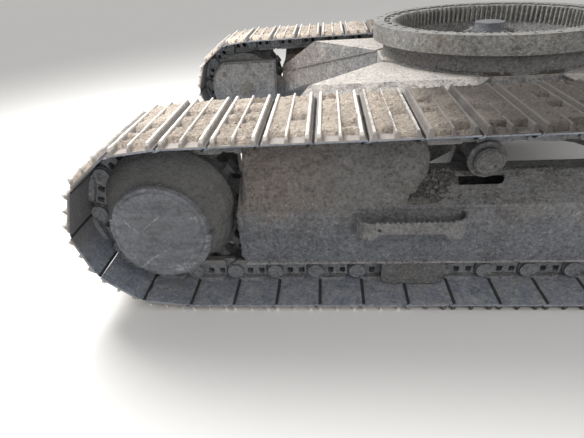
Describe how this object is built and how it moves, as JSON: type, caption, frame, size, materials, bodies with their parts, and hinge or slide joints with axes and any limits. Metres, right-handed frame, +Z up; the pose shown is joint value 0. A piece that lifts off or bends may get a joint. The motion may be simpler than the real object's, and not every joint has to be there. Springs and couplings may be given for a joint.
{
  "type": "excavator crawler undercarriage",
  "caption": "Crawler undercarriage of a medium excavator: tracked side frames on an X-shaped car body, with slewing ring and centre joint for the upper structure.",
  "frame": {"origin": "on the ground under the slewing axis, midway between the two ends of the tracks", "axes": "+X towards the idler end, -X towards the drive end, +Y to the left-hand track, +Z up along the slewing axis"},
  "size_m": [4.066, 2.75, 0.9803],
  "materials": {
    "frame_paint": "worn dark paint under dry mud",
    "shoe_steel": "rolled steel, muddy, grouser tips worn bright",
    "roller_iron": "cast steel, dusty, treads worn smooth",
    "drive_iron": "cast steel under a coat of dust",
    "ring_steel": "machined steel, greased"
  },
  "bodies": {
    "undercarriage": {"car_body": "frame_paint", "slew_pedestal": "frame_paint", "leg_front_left": "frame_paint", "leg_front_right": "frame_paint", "leg_rear_left": "frame_paint", "leg_rear_right": "frame_paint", "belly_cover": "frame_paint", "slew_inner_race": "ring_steel", "swivel_housing": "drive_iron", "side_frame_left": "frame_paint", "side_frame_right": "frame_paint", "drive_bracket_left": "frame_paint", "drive_bracket_right": "frame_paint", "motor_cover_left": "frame_paint", "motor_cover_right": "frame_paint", "final_drive_left": "drive_iron", "final_drive_right": "drive_iron", "sprocket_left": "roller_iron", "sprocket_right": "roller_iron", "idler_left": "roller_iron", "idler_right": "roller_iron", "idler_yoke_left": "frame_paint", "idler_yoke_right": "frame_paint", "recoil_unit_left": "drive_iron", "recoil_unit_right": "drive_iron", "carrier_rollers_left": "roller_iron", "carrier_rollers_right": "roller_iron", "carrier_brackets_left": "frame_paint", "carrier_brackets_right": "frame_paint", "bottom_rollers_left": "roller_iron", "bottom_rollers_right": "roller_iron", "track_guards_left": "frame_paint", "track_guards_right": "frame_paint", "steps_left": "frame_paint", "steps_right": "frame_paint", "track_left": "shoe_steel", "track_right": "shoe_steel"},
    "slew_outer": {"slew_outer_race": "ring_steel"},
    "swivel": {"swivel_rotor": "drive_iron"}
  },
  "joints": [
    {"name": "slew_turn", "type": "hinge", "parent": "undercarriage", "child": "slew_outer", "pos_m": [0, 0, 0.98], "axis": [0, 0, 1], "continuous": true},
    {"name": "swivel_turn", "type": "hinge", "parent": "undercarriage", "child": "swivel", "pos_m": [0, 0, 0.8], "axis": [0, 0, 1], "continuous": true}
  ]
}
